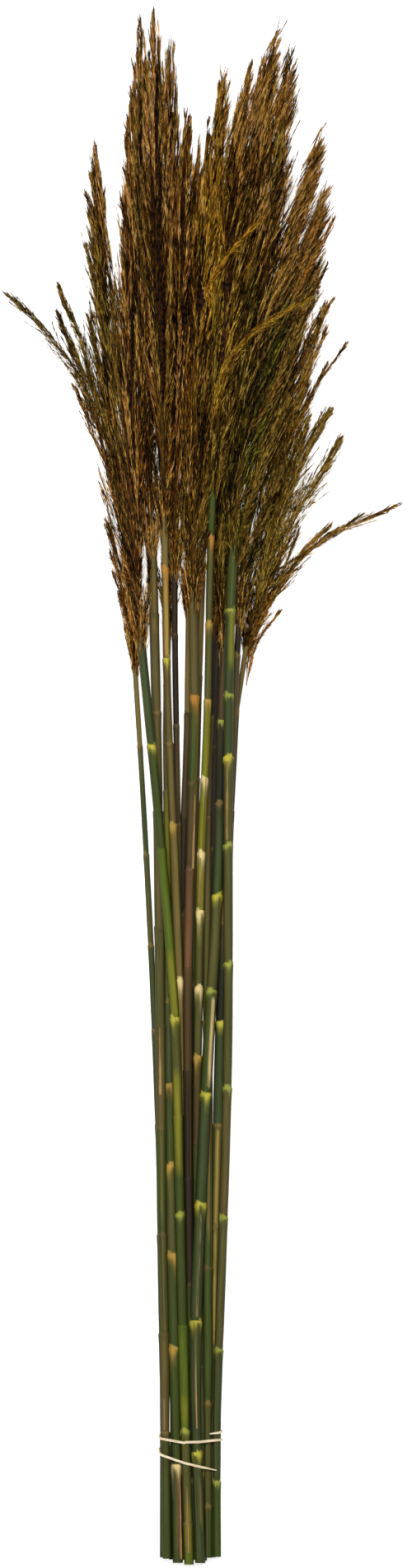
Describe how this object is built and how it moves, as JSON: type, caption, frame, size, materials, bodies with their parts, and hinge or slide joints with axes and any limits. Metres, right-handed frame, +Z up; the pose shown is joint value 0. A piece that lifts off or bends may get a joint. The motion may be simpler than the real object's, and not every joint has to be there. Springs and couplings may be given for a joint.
{
  "type": "bunch of reeds",
  "caption": "Bunch of tall cut reeds with feathery plumes, tied near the foot with raffia and laid flat, for a floor vase, a hearth or a display.",
  "frame": {"origin": "under the middle of the bunch, on the surface that it lies on", "axes": "+Y from the cut ends towards the plume tips, +Z up from the surface, out of the side that the picture shows, +X to the right of that view"},
  "size_m": [0.387, 1.5, 0.1117],
  "materials": {
    "reed_stem": "green to straw-brown reed cane with a waxy satin skin",
    "reed_plume": "matte golden brown, silky spikelets",
    "dry_sheath": "dry papery leaf sheath, tan",
    "raffia": "dull cream palm fibre"
  },
  "bodies": {
    "root": {"stem_01": "reed_stem", "stem_02": "reed_stem", "stem_03": "reed_stem", "stem_04": "reed_stem", "stem_05": "reed_stem", "stem_06": "reed_stem", "stem_07": "reed_stem", "stem_08": "reed_stem", "stem_09": "reed_stem", "stem_10": "reed_stem", "stem_11": "reed_stem", "stem_12": "reed_stem", "stem_13": "reed_stem", "stem_14": "reed_stem", "stem_15": "reed_stem", "stem_16": "reed_stem", "plume_01": "reed_plume", "plume_02": "reed_plume", "plume_03": "reed_plume", "plume_04": "reed_plume", "plume_05": "reed_plume", "plume_06": "reed_plume", "plume_07": "reed_plume", "plume_08": "reed_plume", "plume_09": "reed_plume", "plume_10": "reed_plume", "plume_11": "reed_plume", "plume_12": "reed_plume", "plume_13": "reed_plume", "plume_14": "reed_plume", "plume_15": "reed_plume", "plume_16": "reed_plume", "leaf_sheath_01": "dry_sheath", "leaf_sheath_02": "dry_sheath", "leaf_sheath_03": "dry_sheath", "leaf_sheath_04": "dry_sheath", "leaf_sheath_05": "dry_sheath", "leaf_sheath_06": "dry_sheath", "leaf_sheath_07": "dry_sheath", "leaf_sheath_08": "dry_sheath", "leaf_sheath_09": "dry_sheath", "leaf_sheath_10": "dry_sheath", "tie": "raffia"}
  },
  "joints": []
}
